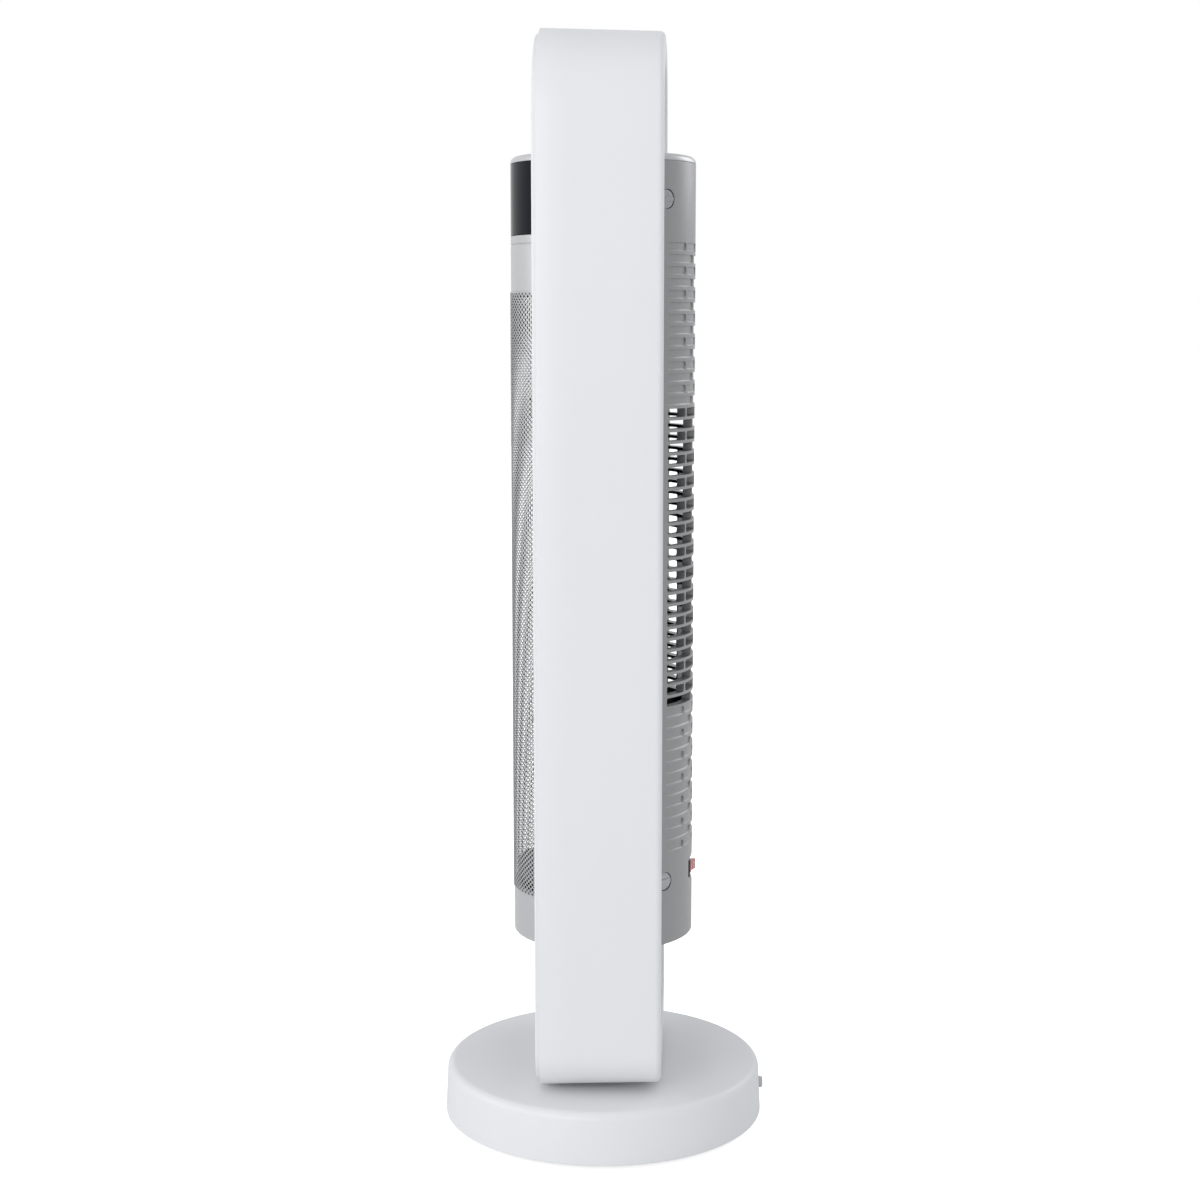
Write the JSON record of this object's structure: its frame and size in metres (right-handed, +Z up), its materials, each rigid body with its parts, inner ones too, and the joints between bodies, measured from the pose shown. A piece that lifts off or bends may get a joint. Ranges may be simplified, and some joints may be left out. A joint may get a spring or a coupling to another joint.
{
  "type": "tower fan heater",
  "caption": "Round column heater on side pivots in a tall rounded loop stand that swivels on a round weighted base, with a front mesh, rear vents and a rocker switch.",
  "frame": {"origin": "centre of the base, on the floor", "axes": "+Z up along the column, warm air leaves towards -Y, +X along the tilt pivots"},
  "size_m": [0.233, 0.2347, 0.779],
  "materials": {
    "white_plastic": "satin",
    "grey_plastic": "matte",
    "silver_paint": "metallic satin paint",
    "mesh_paint": "metallic satin paint",
    "display_black": "high gloss",
    "cast_ballast": "raw",
    "foot_rubber": "matte",
    "steel": "plated",
    "motor_can": "satin",
    "pale_grey_plastic": "matte",
    "nylon": "matte",
    "black_plastic": "matte",
    "circuit_board": "satin",
    "bearing_bronze": "satin",
    "heat_plastic": "matte",
    "fin_aluminium": "bright",
    "red_plastic": "gloss"
  },
  "bodies": {
    "base": {"base_cover": "white_plastic", "base_plate": "grey_plastic", "ballast_ring": "cast_ballast", "rubber_feet": "foot_rubber", "base_screws": "steel", "cord_gland": "pale_grey_plastic", "swivel_bush": "nylon", "swivel_motor": "motor_can", "swivel_motor_screws": "steel"},
    "pinion": {"drive_pinion": "nylon"},
    "stand": {"swivel_disc": "black_plastic", "swivel_gear": "nylon", "gear_screws": "steel", "disc_screws": "steel", "loop_shell": "white_plastic", "loop_trim": "white_plastic", "loop_frame": "steel", "pivot_shafts": "steel", "pivot_screws": "steel", "pivot_washers": "nylon", "leg_cable": "black_plastic"},
    "column": {"front_shell": "silver_paint", "rear_shell": "silver_paint", "front_mesh": "mesh_paint", "display_lens": "display_black", "display_board": "circuit_board", "top_cap": "silver_paint", "cap_screws": "steel", "bottom_cover": "grey_plastic", "bottom_screws": "steel", "upper_plate": "grey_plastic", "lower_plate": "grey_plastic", "side_rails": "grey_plastic", "pivot_bushes": "nylon", "shell_screws": "steel", "screw_plugs": "silver_paint", "duct_floor": "black_plastic", "duct_roof": "black_plastic", "scroll_wall": "black_plastic", "tongue_wall": "black_plastic", "blower_motor": "motor_can", "upper_bearing": "bearing_bronze", "heater_frame": "heat_plastic", "heater_fins": "fin_aluminium", "heater_bars": "fin_aluminium", "thermal_cutout": "heat_plastic", "power_board": "circuit_board", "tip_switch": "black_plastic", "switch_housing": "black_plastic"},
    "blower": {"blower_wheel": "black_plastic", "blower_shaft": "steel"},
    "rocker": {"rocker": "red_plastic"}
  },
  "joints": [
    {"name": "swivel", "type": "hinge", "parent": "base", "child": "stand", "pos_m": [0, 0, 0.0425], "axis": [0, 0, 1], "range_deg": [-35, 35]},
    {"name": "pinion_spin", "type": "hinge", "parent": "base", "child": "pinion", "pos_m": [0, -0.043, 0.0273], "axis": [0, 0, 1], "range_deg": [-185, 185]},
    {"name": "tilt", "type": "hinge", "parent": "stand", "child": "column", "pos_m": [0, 0, 0.424], "axis": [-1, 0, 0], "range_deg": [0, 30]},
    {"name": "blower_spin", "type": "hinge", "parent": "column", "child": "blower", "pos_m": [0, 0.006, 0.42], "axis": [0, 0, 1], "continuous": true},
    {"name": "rocker_tip", "type": "hinge", "parent": "column", "child": "rocker", "pos_m": [0, 0.0614, 0.187], "axis": [0, 0, 1], "range_deg": [0, 30]}
  ],
  "couplings": [
    {"joint": "pinion_spin", "follows": "swivel", "ratio": -5.1429}
  ]
}
